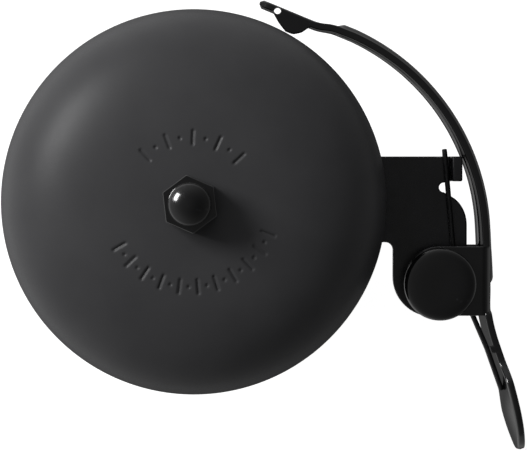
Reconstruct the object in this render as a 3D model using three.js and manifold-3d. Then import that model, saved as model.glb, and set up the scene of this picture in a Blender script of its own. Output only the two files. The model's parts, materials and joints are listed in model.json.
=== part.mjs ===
// A lever-struck bicycle bell: an 80 mm steel dome on a post, a bracket, a band clamp for the
// handlebar, and a sprung thumb lever whose curved arm carries the striker round to the dome's edge.
// Millimetres, +Z up. The origin is the centre of the handlebar bore, right under the dome's axis.
// +Y runs along the handlebar and +X points from the dome to the lever.
import * as THREE from 'three';
import { mergeVertices } from 'three/addons/utils/BufferGeometryUtils.js';
import Module from 'manifold-3d';

const wasm = await Module();
wasm.setup();

// ---- driving dimensions -------------------------------------------------------------------------

const contactGap = 0.1; // left between pieces that lie against each other round a curve
const runningGap = 0.1; // radial, between the pivot pin and what it turns in

// Handlebar clamp
const barRadius = 11.1;
const linerThickness = 1.5;
const linerWidth = 16.4;
const bandRadius = barRadius + linerThickness + 2 * contactGap; // inner face of the band
const bandThickness = 1.2;
const bandWidth = 15;
const bandShoulder = 7; // half the flat top that carries the bracket
const bandTop = 14.2; // inner face of that flat
const bandSplit = 3.5; // gap between the two closing ears
const earBottom = -26.5;
const clampScrewHeight = -19.8;
const clampScrewRadius = 2.5;

// Bracket
const plateThickness = 2;
const plateBottom = bandTop + bandThickness;
const plateTop = plateBottom + plateThickness;
const plateBack = 9.4; // the strip's edges under the dome, along Y
const plateFront = -8.6;
const plateEarLeft = 41.4;
const plateRight = 56.9;
const tabFace = 55.6; // outer face of the folded tab that anchors the spring
const tabLow = 4.2;
const tabTop = 22;

// Dome
const domeRadius = 39.65;
const domeWall = 1.5;
const domeRim = plateTop + 2.5;
const domeStraight = 2; // upright stretch of wall above the rim
const domeCrown = 26; // height of the crown above that stretch
const domePower = 3.2; // superellipse exponent: flatter on top than a sphere
const domeHole = 3.2;
const domeTop = domeRim + domeStraight + domeCrown;

// Post and cap nut
const postRadius = 4;
const studRadius = 2.9; // M6
const postShoulder = 44;
const nutFlats = 10;
const nutCorner = 37; // degrees, direction of one corner of the hexagon
const nutHexHeight = 5;
const nutHeight = 8.8;
const nutCapRadius = 4.3; // round part above the hexagon
const nutCapCurve = 6.1; // radius of its domed top
const postWasherRadius = 8;
const postWasherThickness = 1;
const dampingWasherRadius = 6.5;
const dampingWasherTop = 46.05;

// Pivot and spring
const pivot = new THREE.Vector2(50.75, -17);
const pinRadius = 2;
const bushRadius = 3;
const thrustWasherRadius = 5;
const clipWasherRadius = 4.2;
const wireRadius = 0.55;
const coilRadius = 3.85;
const coilTurns = 3;
const fixedLegHeight = plateTop + 0.8;
const movingLegHeight = 21.8;
const movingLegBend = new THREE.Vector2(60.9, -30.5); // where the leg nears the web, and where it ends
const movingLegEnd = new THREE.Vector2(63.85, -39);
const fixedLegEnd = new THREE.Vector2(52.1, 10.7);
const fixedLegAngle = 5.2; // degrees round the coil where each leg leaves it
const movingLegAngle = 24.2;

// Lever: one steel strip on edge, with two ears folded in round the pivot and the striker folded in at
// its tip
const stripThickness = 1.5;
const stripTop = 24.1;
const stripBottom = 12.1;
const earThickness = 1.4;
const earBack = -9.2;
const earFront = -23.6;
const armCentre = new THREE.Vector2(14, -8);
const armRadius = 46.3; // to the middle of the strip's thickness
const armEnd = 71.5; // degrees round armCentre where the arc ends
const armKink = new THREE.Vector2(25.65, 36.2);
const armTipSlope = 22.5; // degrees
const armTipLength = 13.1;
const armTipBottom = 19.6; // the strip is this narrow at the striker and widens towards the ears
const armEndBottom = 18.2;
const ribHeight = 0.95;
const ribHalfWidth = 2;
const ribFade = 2.1; // the rib dies out over this length
const thumbBend = 19; // degrees the thumb end leans out from the web
const thumbBendRadius = 40;
const thumbBendStart = -16.5;
const neckLength = 3.1; // straight stretch between that bend and the pad
const padLength = 20;
const padSweep = 11; // degrees the pad curls back
const padHalfWidth = 9;
const padCup = 1.3;
const capRadius = 7.5;

const segments = 32; // sides of a small round part
const degrees = Math.PI / 180;

// ---- making shapes ------------------------------------------------------------------------------

const point = (x, y) => new THREE.Vector2(x, y);

// Points along an arc, from one angle to another in degrees.
function arc(cx, cy, radius, from, to, steps) {
  return Array.from({ length: steps + 1 }, (_, i) => {
    const angle = (from + ((to - from) * i) / steps) * degrees;
    return point(cx + radius * Math.cos(angle), cy + radius * Math.sin(angle));
  });
}

const circle = (cx, cy, radius, steps = segments) => arc(cx, cy, radius, 0, 360, steps).slice(0, -1);

// A plan outline raised along Z between two heights.
function prism(points, low, high) {
  const shape = new THREE.Shape(points);
  return new THREE.ExtrudeGeometry(shape, { depth: high - low, bevelEnabled: false }).translate(0, 0, low);
}

// An outline of (x, z) points drawn out along Y, and one of (y, z) points drawn out along X.
const prismY = (points, low, high) => prism(points, -high, -low).rotateX(Math.PI / 2);
const prismX = (points, low, high) => prism(points, low, high).rotateX(Math.PI / 2).rotateZ(Math.PI / 2);

// A profile of [radius, height] pairs turned round a vertical line. A profile off the axis is closed
// into a ring.
function turned(profile, x = 0, y = 0, steps = segments) {
  const points = profile.map(([r, z]) => point(r, z));
  if (points[0].x > 0 || points[points.length - 1].x > 0) points.push(points[0].clone());
  if (THREE.ShapeUtils.area(points) < 0) points.reverse();
  return new THREE.LatheGeometry(points, steps).rotateX(Math.PI / 2).translate(x, y, 0);
}

// A plain ring, such as a washer or a bush.
const ring = (inner, outer, low, high, x = 0, y = 0) =>
  turned([[inner, low], [outer, low], [outer, high], [inner, high]], x, y);

// A plain round rod, used to drill holes.
const rod = (radius, low, high, x = 0, y = 0) => prism(circle(x, y, radius), low, high);

// Joins rows of points into one closed skin, with a fan over each end.
function loft(rows) {
  const width = rows[0].length;
  const index = [];
  for (let i = 0; i + 1 < rows.length; i++) {
    for (let j = 0; j < width; j++) {
      const [a, b] = [i * width + j, i * width + ((j + 1) % width)];
      index.push(a, b, a + width, b, b + width, a + width);
    }
  }
  const last = (rows.length - 1) * width;
  for (let j = 1; j + 1 < width; j++) {
    index.push(0, j + 1, j, last, last + j, last + j + 1);
  }
  const position = new THREE.Float32BufferAttribute(rows.flat().flatMap((p) => [p.x, p.y, p.z]), 3);
  return new THREE.BufferGeometry().setAttribute('position', position).setIndex(index);
}

function toSolid(geometry) {
  const bare = geometry.clone();
  bare.deleteAttribute('normal');
  bare.deleteAttribute('uv');
  const merged = mergeVertices(bare, 1e-4);
  const faces = [];
  for (let i = 0; i < merged.index.count; i += 3) {
    const [a, b, c] = [0, 1, 2].map((k) => merged.index.getX(i + k));
    if (a !== b && b !== c && c !== a) faces.push(a, b, c);
  }
  return new wasm.Manifold(
    new wasm.Mesh({
      numProp: 3,
      vertProperties: new Float32Array(merged.attributes.position.array),
      triVerts: new Uint32Array(faces),
    }),
  );
}

function toGeometry(solid) {
  const mesh = solid.getMesh();
  return new THREE.BufferGeometry()
    .setAttribute('position', new THREE.BufferAttribute(new Float32Array(mesh.vertProperties), 3))
    .setIndex(new THREE.BufferAttribute(new Uint32Array(mesh.triVerts), 1));
}

const joined = (...shapes) => shapes.map(toSolid).reduce((a, b) => a.add(b));
const cut = (solid, ...tools) => tools.map(toSolid).reduce((a, b) => a.subtract(b), solid);

// ---- materials ----------------------------------------------------------------------------------

const paint = (color, roughness, metalness) => new THREE.MeshStandardMaterial({ color, roughness, metalness });
const materials = {
  domeCoat: paint(0x2b2b2d, 0.55, 0),
  glossBlack: paint(0x0b0b0c, 0.12, 0),
  bracketBlack: paint(0x141416, 0.3, 0),
  springBlack: paint(0x101011, 0.3, 0.4),
  hardware: paint(0x1b1b1d, 0.35, 0.8),
  plainSteel: paint(0x9a9c9e, 0.35, 1),
  rubber: paint(0x161617, 0.85, 0),
};

function piece(name, shape, material) {
  const geometry = shape.isBufferGeometry ? shape : toGeometry(shape);
  geometry.computeVertexNormals();
  const mesh = new THREE.Mesh(geometry, material);
  mesh.name = name;
  return mesh;
}

// ---- dome, post and cap nut ---------------------------------------------------------------------

// One face of the dome's wall, from the rim to the hole, as a superellipse with the given half width
// and height.
function domeFace(radius, crown, steps) {
  const reach = Math.acos((domeHole / radius) ** (domePower / 2));
  return Array.from({ length: steps + 1 }, (_, i) => {
    const angle = (reach * i) / steps;
    const r = radius * Math.cos(angle) ** (2 / domePower);
    const z = domeRim + domeStraight + crown * Math.sin(angle) ** (2 / domePower);
    return [r, z];
  });
}

function dome() {
  const outside = domeFace(domeRadius, domeCrown, 14);
  const inside = domeFace(domeRadius - domeWall, domeCrown - domeWall, 11).reverse();
  return turned([[domeRadius - domeWall, domeRim], [domeRadius, domeRim], ...outside, ...inside], 0, 0, 56);
}

function domePost() {
  const footRadius = 6.5;
  const rivetRadius = 4.5;
  const rivetHeight = 1.1;
  const studTop = domeTop + 6;
  return turned([
    [0, bandTop - rivetHeight],
    [rivetRadius - 0.6, bandTop - rivetHeight],
    [rivetRadius, bandTop],
    [studRadius, bandTop],
    [studRadius, plateTop],
    [footRadius, plateTop],
    [footRadius, plateTop + 1],
    [postRadius, plateTop + 2.2],
    [postRadius, postShoulder],
    [studRadius, postShoulder],
    [studRadius, studTop - 0.6],
    [studRadius - 0.6, studTop],
    [0, studTop],
  ]);
}

function capNut() {
  const corner = nutFlats / 2 / Math.cos(30 * degrees);
  const hexagon = arc(0, 0, corner, nutCorner, nutCorner + 300, 5);
  const chamfer = turned([
    [0, domeTop - 1],
    [corner + 1, domeTop - 1],
    [corner + 1, domeTop + nutHexHeight - 1.5],
    [corner - 0.85, domeTop + nutHexHeight],
    [0, domeTop + nutHexHeight],
  ]);
  const hex = toSolid(prism(hexagon, domeTop, domeTop + nutHexHeight)).intersect(toSolid(chamfer));
  const capEdge = Math.acos(nutCapRadius / nutCapCurve) / degrees;
  const capMiddle = domeTop + nutHeight - nutCapCurve;
  const cap = turned([
    [0, domeTop + nutHexHeight - 1],
    [nutCapRadius, domeTop + nutHexHeight - 1],
    ...arc(0, capMiddle, nutCapCurve, capEdge, 90, 6).map((p) => [Math.max(p.x, 0), p.y]),
  ]);
  const boreDepth = 6.4;
  return cut(hex.add(toSolid(cap)), rod(studRadius + contactGap, domeTop - 1, domeTop + boreDepth));
}

// ---- bracket and handlebar clamp ----------------------------------------------------------------

function bracket() {
  const endRadius = (plateBack - plateFront) / 2;
  const end = point(-3.5, (plateBack + plateFront) / 2);
  const cornerRadius = 1.6;
  const rightEarRadius = 7.2;
  const leftEarRadius = plateRight - plateEarLeft - rightEarRadius;
  const earMiddle = plateEarLeft + leftEarRadius;
  const relief = point(52.05, 2.9);
  const reliefRadius = 1;
  const shoulder = point(51.4, -5);
  const shoulderHeight = 6.6;
  const shoulderPoints = arc(0, 0, 1, 0, 72, 8).map((p) =>
    point(shoulder.x + (plateRight - shoulder.x) * p.x, shoulder.y + shoulderHeight * p.y),
  );
  const bendStart = tabFace - plateThickness;
  const tabRoot = bendStart - 1.2;
  const plan = [
    ...arc(end.x, end.y, endRadius, 90, 270, 16),
    ...arc(plateEarLeft - cornerRadius, plateFront - cornerRadius, cornerRadius, 90, 0, 5),
    ...arc(earMiddle, pivot.y - rightEarRadius + leftEarRadius, leftEarRadius, 180, 270, 10),
    ...arc(earMiddle, pivot.y, rightEarRadius, -90, 0, 9).slice(1),
    ...shoulderPoints,
    ...arc(relief.x, relief.y, reliefRadius, -90, -270, 10),
    point(bendStart - 0.6, tabLow),
    point(bendStart - 0.6, plateBack),
  ];
  const tab = [
    point(tabRoot, plateBottom),
    ...arc(bendStart, plateTop, plateThickness, -90, 0, 6),
    point(tabFace, tabTop),
    point(bendStart, tabTop),
    point(bendStart, plateTop),
    point(tabRoot, plateTop),
  ];
  return cut(
    joined(prism(plan, plateBottom, plateTop), prismY(tab, tabLow, plateBack)),
    rod(studRadius + contactGap, plateBottom - 1, plateTop + 1),
    rod(pinRadius + runningGap, plateBottom - 1, plateTop + 1, pivot.x, pivot.y),
  );
}

// The band's section in (x, z), right half: up the ear, round the bar and up the sloping shoulder to
// the flat.
function bandSide(radius, earFace, shoulder, top) {
  const earStart = Math.asin(-Math.sqrt(radius ** 2 - earFace ** 2) / radius) / degrees;
  return [point(earFace, earBottom), ...arc(0, 0, radius, earStart, 27.8, 15), point(shoulder, top)];
}

function clampBand() {
  const outerShoulder = bandShoulder + 0.73;
  const inner = bandSide(bandRadius, bandSplit / 2, bandShoulder, bandTop);
  const outer = bandSide(bandRadius + bandThickness, bandSplit / 2 + bandThickness, outerShoulder, plateBottom);
  const mirrored = (points) => points.map((p) => point(-p.x, p.y)).reverse();
  const section = [...outer, ...mirrored(outer), ...mirrored(inner).reverse(), ...inner.reverse()];
  const half = bandWidth / 2;
  const round = 4;
  const silhouette = [
    ...arc(-half + round, earBottom + round, round, 180, 270, 6),
    ...arc(half - round, earBottom + round, round, 270, 360, 6),
    point(half, plateTop),
    point(-half, plateTop),
  ];
  const reach = bandRadius + 3;
  const band = toSolid(prismY(section, -half, half)).intersect(toSolid(prismX(silhouette, -reach, reach)));
  const screwHole = prismX(circle(0, clampScrewHeight, clampScrewRadius + 0.2), -reach, reach);
  return cut(band, rod(studRadius + contactGap, bandTop - 1, plateTop), screwHole);
}

// A split rubber sleeve. Its inner facets touch the bar, and the one at the top is level.
function clampLiner() {
  const splitAngle = 9; // half the opening at the bottom
  const facets = 31;
  const half = (360 - 2 * splitAngle) / facets / 2;
  const inner = arc(0, 0, barRadius / Math.cos(half * degrees), -90 + splitAngle, 270 - splitAngle, facets);
  const outer = arc(0, 0, barRadius + linerThickness, -90 + splitAngle, 270 - splitAngle, facets);
  return prismY([...outer, ...inner.reverse()], -linerWidth / 2, linerWidth / 2);
}

const earOuterFace = bandSplit / 2 + bandThickness;
const clampWasherFace = earOuterFace + 1;
const lockWasherFace = earOuterFace + 1.2;

function clampScrew() {
  const headRadius = 4.6;
  const headHeight = 3;
  const screwReach = 10.2;
  const profile = [
    [0, -screwReach],
    [clampScrewRadius - 0.5, -screwReach],
    [clampScrewRadius, 0.5 - screwReach],
    [clampScrewRadius, clampWasherFace],
    [headRadius, clampWasherFace],
    [headRadius, clampWasherFace + 1.6],
    [headRadius - 0.9, clampWasherFace + headHeight - 0.3],
    [headRadius - 2.2, clampWasherFace + headHeight],
    [0, clampWasherFace + headHeight],
  ];
  const slotWidth = 1.2;
  const slot = new THREE.BoxGeometry(slotWidth, 3 * headRadius, 2.6).translate(0, 0, clampWasherFace + headHeight);
  const upright = cut(toSolid(turned(profile)), slot);
  return toGeometry(upright).rotateY(Math.PI / 2).translate(0, 0, clampScrewHeight);
}

function clampWasher() {
  return ring(clampScrewRadius + 0.2, 4.9, earOuterFace, clampWasherFace)
    .rotateY(Math.PI / 2)
    .translate(0, 0, clampScrewHeight);
}

// A split lock washer under the nut.
function clampLockWasher() {
  const opening = 9; // half the split, degrees
  const outer = arc(0, clampScrewHeight, 4.3, opening, 360 - opening, 26);
  const inner = arc(0, clampScrewHeight, clampScrewRadius + 0.2, 360 - opening, opening, 26);
  return prismX([...outer, ...inner], -lockWasherFace, -earOuterFace);
}

function clampNut() {
  const side = 8;
  const height = 4;
  const block = new THREE.BoxGeometry(height, side, side).translate(-lockWasherFace - height / 2, 0, clampScrewHeight);
  const bore = prismX(circle(0, clampScrewHeight, clampScrewRadius + contactGap), -15, 0);
  return cut(toSolid(block), bore);
}

// ---- pivot and spring ---------------------------------------------------------------------------

const earUnderside = stripTop - earThickness;
const rearEarTop = stripBottom + earThickness;
const clipWasherThickness = 0.5;
const clipGroove = { low: stripBottom - 1.6, high: stripBottom - 0.7, radius: 1.5 };
const pinBottom = stripBottom - 2.4;

function pivotPin() {
  return turned(
    [
      [0, pinBottom],
      [pinRadius - 0.4, pinBottom],
      [pinRadius, pinBottom + 0.4],
      [pinRadius, clipGroove.low],
      [clipGroove.radius, clipGroove.low],
      [clipGroove.radius, clipGroove.high],
      [pinRadius, clipGroove.high],
      [pinRadius, stripTop + 1.4],
      [0, stripTop + 1.4],
    ],
    pivot.x,
    pivot.y,
  );
}

// The broad button pressed on the top of the pin: nearly flat, and rolling over into its edge.
function pivotCap() {
  const low = stripTop + contactGap;
  const edge = 0.8;
  const crown = 2.1;
  const steps = 9;
  const face = Array.from({ length: steps + 1 }, (_, i) => {
    const angle = (90 * i * degrees) / steps;
    const r = capRadius * Math.sqrt(Math.max(Math.cos(angle), 0));
    return [r, low + edge + crown * Math.sqrt(Math.sin(angle))];
  });
  face[steps][0] = 0;
  const rim = arc(capRadius - edge, low + edge, edge, -50, 0, 2).map((p) => [p.x, p.y]);
  const profile = [[0, low], [capRadius - edge, low], ...rim.slice(0, -1), ...face];
  const body = turned(profile, pivot.x, pivot.y, 40);
  return cut(toSolid(body), rod(pinRadius + contactGap, low - 1, stripTop + 1.5, pivot.x, pivot.y));
}

function retainingClip() {
  const opening = 40; // half the mouth, degrees
  const outer = arc(pivot.x, pivot.y, 4, opening, 360 - opening, 18);
  const inner = arc(pivot.x, pivot.y, clipGroove.radius + contactGap, 360 - opening, opening, 14);
  return prism([...outer, ...inner], clipGroove.low + contactGap, clipGroove.high - contactGap);
}

// The spring's wire: the moving leg, the coil, then the fixed leg that bears on the bracket's tab.
class SpringWire extends THREE.Curve {
  constructor() {
    super();
    const coilAngle = (360 * coilTurns + fixedLegAngle - movingLegAngle) * degrees;
    const start = movingLegAngle * degrees;
    const steps = 60;
    const coil = Array.from({ length: steps + 1 }, (_, i) => {
      const angle = start + (coilAngle * i) / steps;
      const z = movingLegHeight + ((fixedLegHeight - movingLegHeight) * i) / steps;
      return this.roundPivot(angle, z);
    });
    const at = ({ x, y }, z) => new THREE.Vector3(x, y, z);
    const movingLeg = [at(movingLegEnd, movingLegHeight), at(movingLegBend, movingLegHeight)];
    this.points = [...movingLeg, ...coil, at(fixedLegEnd, fixedLegHeight)];
    this.lengths = [0];
    this.points.slice(1).forEach((p, i) => this.lengths.push(this.lengths[i] + p.distanceTo(this.points[i])));
  }

  roundPivot(angle, z) {
    return new THREE.Vector3(pivot.x + coilRadius * Math.cos(angle), pivot.y + coilRadius * Math.sin(angle), z);
  }

  getPoint(t, target = new THREE.Vector3()) {
    const total = this.lengths[this.lengths.length - 1];
    const along = Math.min(Math.max(t, 0), 1) * total;
    const i = Math.max(1, this.lengths.findIndex((l) => l >= along - 1e-9));
    const share = (along - this.lengths[i - 1]) / (this.lengths[i] - this.lengths[i - 1]);
    return target.lerpVectors(this.points[i - 1], this.points[i], share);
  }
}

function torsionSpring() {
  const section = new THREE.Shape(circle(0, 0, wireRadius, 8));
  return new THREE.ExtrudeGeometry(section, { extrudePath: new SpringWire(), steps: 84, bevelEnabled: false });
}

// ---- lever --------------------------------------------------------------------------------------

const smooth = (t) => {
  const s = Math.min(Math.max(t, 0), 1);
  return s * s * (3 - 2 * s);
};

// The strip's centreline in plan, from the striker's end to the thumb end. Each station has its place,
// its outward normal, the heights of its two edges, and how far its rib stands out and its pad is cupped.
function stripStations() {
  const stations = [];
  const add = (at, heading, low, high, rib = 0, cup = 0) => {
    const normal = point(-Math.sin(heading * degrees), Math.cos(heading * degrees));
    stations.push({ at, normal, low, high, rib, cup });
  };
  const along = (start, heading, length) =>
    point(start.x + length * Math.cos(heading * degrees), start.y + length * Math.sin(heading * degrees));

  for (const share of [1, 0.55, 0.04]) {
    add(along(armKink, 180 - armTipSlope, share * armTipLength), -armTipSlope, armTipBottom, stripTop);
  }
  const arcSteps = 22;
  for (let i = 0; i <= arcSteps; i++) {
    const angle = armEnd * (1 - i / arcSteps);
    const bottom = armEndBottom + (stripBottom - armEndBottom) * (i / arcSteps) ** 0.7;
    const rib = i > 0 ? ribHeight : 0;
    add(arc(armCentre.x, armCentre.y, armRadius, angle, angle, 1)[0], angle - 90, bottom, stripTop, rib);
  }
  const webX = armCentre.x + armRadius;
  add(point(webX, thumbBendStart + ribFade), -90, stripBottom, stripTop, ribHeight);
  for (let i = 0; i <= 4; i++) {
    const turn = (thumbBend * i) / 4;
    const p = arc(webX + thumbBendRadius, thumbBendStart, thumbBendRadius, 180 + turn, 180 + turn, 1)[0];
    add(p, turn - 90, stripBottom, stripTop);
  }

  const middle = (stripBottom + stripTop) / 2;
  const narrow = (stripTop - stripBottom) / 2;
  let at = along(stations[stations.length - 1].at, thumbBend - 90, neckLength);
  add(at, thumbBend - 90, stripBottom, stripTop);
  let previous = 0;
  for (const share of [0.1, 0.2, 0.3, 0.4, 0.52, 0.64, 0.74, 0.83, 0.9, 0.955, 0.985, 1]) {
    const turn = thumbBend - padSweep * share;
    at = along(at, turn - 90, (share - previous) * padLength);
    previous = share;
    const toTip = (1 - share) * padLength;
    const round = Math.sqrt(Math.max(padHalfWidth ** 2 - Math.max(padHalfWidth - toTip, 0) ** 2, 0.25));
    const half = Math.min(narrow + (padHalfWidth - narrow) * smooth(share / 0.34), round);
    const cup = padCup * smooth((share - 0.1) / 0.5) * (half / padHalfWidth) ** 2;
    add(at, turn - 90, middle - half, middle + half, 0, cup);
  }
  return stations;
}

// One closed section of the strip. The rib is pressed outwards, and the pad's middle inwards.
function stripSection({ at, normal, low, high, rib, cup }) {
  const middle = (low + high) / 2;
  const half = (high - low) / 2;
  const ribEdge = Math.min(ribHalfWidth / half, 0.8);
  const across = [-1, -0.9, -ribEdge, -0.75 * ribEdge, -0.4 * ribEdge];
  const ribShape = [0, 0, 0, 0.6, 1];
  const places = [...across, ...across.map((v) => -v).reverse()];
  const heights = [...ribShape, ...ribShape.slice().reverse()];
  const face = (side) =>
    places.map((v, i) => {
      const offset = (side * stripThickness) / 2 + rib * heights[i] - cup * (1 - v * v);
      return new THREE.Vector3(at.x + normal.x * offset, at.y + normal.y * offset, middle + v * half);
    });
  return [...face(1), ...face(-1).reverse()];
}

function lever() {
  const strip = loft(stripStations().map(stripSection));
  const webX = armCentre.x + armRadius;
  const earRadius = (earBack - earFront) / 2;
  const ear = [
    ...arc(pivot.x, earFront + earRadius, earRadius, 90, 270, 14),
    point(webX, earFront),
    point(webX, earBack),
  ];
  const striker = [
    point(24.1, 35.95),
    point(24.2, 36.85),
    point(16.3, 40.1),
    point(16.1, 39.35),
    point(17, 37.85),
    point(17.6, 36.7),
    point(18.2, 35.85),
    point(18.8, 35.2),
    point(19.55, 34.85),
    point(20.5, 34.7),
    point(21.5, 34.85),
    point(22.75, 35.4),
    point(23.5, 35.85),
  ];
  const relief = { x: 17.2, y: 39.5, radius: 0.74 };
  const lug = [point(61, -29.9), point(61.5, -31.3), point(63.6, -31.3), point(63.1, -29.9)];
  const body = joined(
    strip,
    prism(ear, earUnderside, stripTop),
    prism(ear, stripBottom, rearEarTop),
    prism(striker, earUnderside, stripTop),
    prism(lug, stripTop - 1, stripTop),
  );
  return cut(
    body,
    rod(pinRadius + contactGap, stripBottom - 1, stripTop + 1, pivot.x, pivot.y),
    prism(circle(relief.x, relief.y, relief.radius, 16), earUnderside - 1.5, stripTop + 1),
  );
}

// ---- assembly -----------------------------------------------------------------------------------

const sounding = new THREE.Group();
const onStud = (radius, low, high) => ring(studRadius + contactGap, radius, low, high);
const postWasherTop = postShoulder + postWasherThickness;
sounding.add(
  piece('dome', dome(), materials.domeCoat),
  piece('cap_nut', capNut(), materials.glossBlack),
  piece('dome_post', domePost(), materials.plainSteel),
  piece('post_washer', onStud(postWasherRadius, postShoulder, postWasherTop), materials.plainSteel),
  piece('damping_washer', onStud(dampingWasherRadius, postWasherTop, dampingWasherTop), materials.rubber),
);

const mounting = new THREE.Group();
mounting.add(
  piece('bracket', bracket(), materials.bracketBlack),
  piece('clamp_band', clampBand(), materials.bracketBlack),
  piece('clamp_liner', clampLiner(), materials.rubber),
  piece('clamp_screw', clampScrew(), materials.hardware),
  piece('clamp_washer', clampWasher(), materials.hardware),
  piece('clamp_lock_washer', clampLockWasher(), materials.hardware),
  piece('clamp_nut', clampNut(), materials.hardware),
);

const pivoting = new THREE.Group();
const onPin = (radius, low, high) => ring(pinRadius + runningGap, radius, low, high, pivot.x, pivot.y);
const bushTop = earUnderside - contactGap;
const thrustTop = plateBottom - contactGap;
const clipWasherTop = stripBottom - contactGap;
const clipWasher = onPin(clipWasherRadius, clipWasherTop - clipWasherThickness, clipWasherTop);
const thrustWasher = onPin(thrustWasherRadius, rearEarTop + contactGap, thrustTop);
pivoting.add(
  piece('pivot_pin', pivotPin(), materials.hardware),
  piece('pivot_cap', pivotCap(), materials.glossBlack),
  piece('spring_bush', onPin(bushRadius, plateTop + contactGap, bushTop), materials.plainSteel),
  piece('thrust_washer', thrustWasher, materials.plainSteel),
  piece('clip_washer', clipWasher, materials.plainSteel),
  piece('retaining_clip', retainingClip(), materials.hardware),
  piece('torsion_spring', torsionSpring(), materials.springBlack),
  piece('lever', lever(), materials.glossBlack),
);

const bell = new THREE.Group();
bell.add(sounding, mounting, pivoting);
export default bell;
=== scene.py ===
"""A lever-struck bicycle bell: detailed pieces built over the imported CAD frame, with procedural materials.

Shapes are worked out in millimetres, in the CAD's own frame, and scaled to metres when a mesh is made.
"""
import json
import math

import bmesh
import bpy
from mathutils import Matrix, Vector
from mathutils.geometry import tessellate_polygon


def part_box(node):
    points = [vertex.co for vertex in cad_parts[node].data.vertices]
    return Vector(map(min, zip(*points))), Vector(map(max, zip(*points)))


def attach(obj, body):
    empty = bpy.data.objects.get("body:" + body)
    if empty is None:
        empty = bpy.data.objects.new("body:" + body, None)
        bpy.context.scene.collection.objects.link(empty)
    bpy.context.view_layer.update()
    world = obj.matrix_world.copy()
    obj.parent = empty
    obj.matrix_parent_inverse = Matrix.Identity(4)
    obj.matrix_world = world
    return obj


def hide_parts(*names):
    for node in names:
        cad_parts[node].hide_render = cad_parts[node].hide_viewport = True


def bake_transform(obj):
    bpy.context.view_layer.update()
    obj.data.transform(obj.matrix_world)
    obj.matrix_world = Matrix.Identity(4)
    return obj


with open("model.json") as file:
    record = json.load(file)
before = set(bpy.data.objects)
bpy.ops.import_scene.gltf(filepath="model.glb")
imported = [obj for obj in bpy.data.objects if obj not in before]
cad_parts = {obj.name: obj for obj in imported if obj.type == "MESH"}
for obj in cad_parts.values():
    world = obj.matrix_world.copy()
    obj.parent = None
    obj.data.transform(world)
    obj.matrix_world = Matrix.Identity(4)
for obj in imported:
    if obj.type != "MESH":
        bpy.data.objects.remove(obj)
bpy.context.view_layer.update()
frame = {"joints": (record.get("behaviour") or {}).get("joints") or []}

MM = 0.001
ROOT = "frame"
MOVER = "striker_lever"
scene = bpy.context.scene


def box(node):
    """A CAD node's lowest and highest corners in millimetres."""
    low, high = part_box(node)
    return Vector(low) / MM, Vector(high) / MM


DOME_LOW, DOME_HIGH = box("dome")
PLATE_LOW, PLATE_HIGH = box("bracket")
PLATE_THICKNESS = 2
PLATE_TOP = PLATE_LOW.z + PLATE_THICKNESS
PIVOT = Vector(next(j for j in frame["joints"] if j["name"] == "lever_swing")["pos_m"]) / MM

# ---- points in the plane ---------------------


def arc(x, y, radius, start, end, steps):
    """Points along an arc, between two angles in degrees."""
    angles = [math.radians(start + (end - start) * i / steps) for i in range(steps + 1)]
    return [(x + radius * math.cos(a), y + radius * math.sin(a)) for a in angles]


def circle(x, y, radius, steps):
    return arc(x, y, radius, 0, 360, steps)[:-1]


def fillet(corners, closed=True, steps=4):
    """Rounds each corner given as (x, y, radius). A corner given as (x, y) stays as it is."""
    points = []
    count = len(corners)
    for i, corner in enumerate(corners):
        here = Vector(corner[:2])
        radius = corner[2] if len(corner) > 2 else 0
        if not radius or (not closed and i in (0, count - 1)):
            points.append(tuple(here))
            continue
        before = Vector(corners[i - 1][:2]) - here
        after = Vector(corners[(i + 1) % count][:2]) - here
        turn = math.pi - before.angle(after)
        reach = min(radius * math.tan(turn / 2), before.length * 0.49, after.length * 0.49)
        start = here + before.normalized() * reach
        end = here + after.normalized() * reach
        for k in range(steps + 1):
            t = k / steps
            points.append(tuple(start * (1 - t) ** 2 + here * 2 * t * (1 - t) + end * t ** 2))
    return points


def smooth(t):
    t = min(max(t, 0), 1)
    return t * t * (3 - 2 * t)


def mix(a, b, t):
    return a + (b - a) * t


def area(points):
    return sum(a[0] * b[1] - b[0] * a[1] for a, b in zip(points, points[1:] + points[:1])) / 2


def inset(points, distance):
    """Moves a closed outline towards the side on its left."""
    moved = []
    for i, here in enumerate(points):
        here = Vector(here)
        before = (here - Vector(points[i - 1])).normalized()
        after = (Vector(points[(i + 1) % len(points)]) - here).normalized()
        normal = Vector((-before.y - after.y, before.x + after.x))
        share = normal.length / 2
        moved.append(tuple(here + normal.normalized() * distance / max(share, 0.5)))
    return moved


# ---- solids ----------------------------------


def solid(vertices, faces):
    """A closed bmesh, in millimetres, with its faces turned outwards."""
    bm = bmesh.new()
    made = [bm.verts.new(v) for v in vertices]
    for face in faces:
        corners = [made[i] for n, i in enumerate(face) if i != face[n - 1]]
        if len(set(corners)) > 2:
            bm.faces.new(corners)
    bmesh.ops.remove_doubles(bm, verts=bm.verts, dist=1e-5)
    bmesh.ops.recalc_face_normals(bm, faces=bm.faces)
    return bm


def loft(rows, closed_path=False):
    """A skin over closed rows of points, with its two ends filled unless the path is closed."""
    width = len(rows[0])
    vertices = [p for row in rows for p in row]
    faces = []
    for i in range(len(rows) if closed_path else len(rows) - 1):
        a, b = i * width, (i + 1) % len(rows) * width
        faces += [(a + j, a + (j + 1) % width, b + (j + 1) % width, b + j) for j in range(width)]
    if not closed_path:
        faces.append(tuple(range(width)))
        faces.append(tuple(range((len(rows) - 1) * width, len(rows) * width)))
    return solid(vertices, faces)


def level_ring(radius, z, segments):
    """A level circle of 3-D points round the dome's axis."""
    return [(x, y, z) for x, y in circle(0, 0, radius, segments)]


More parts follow.
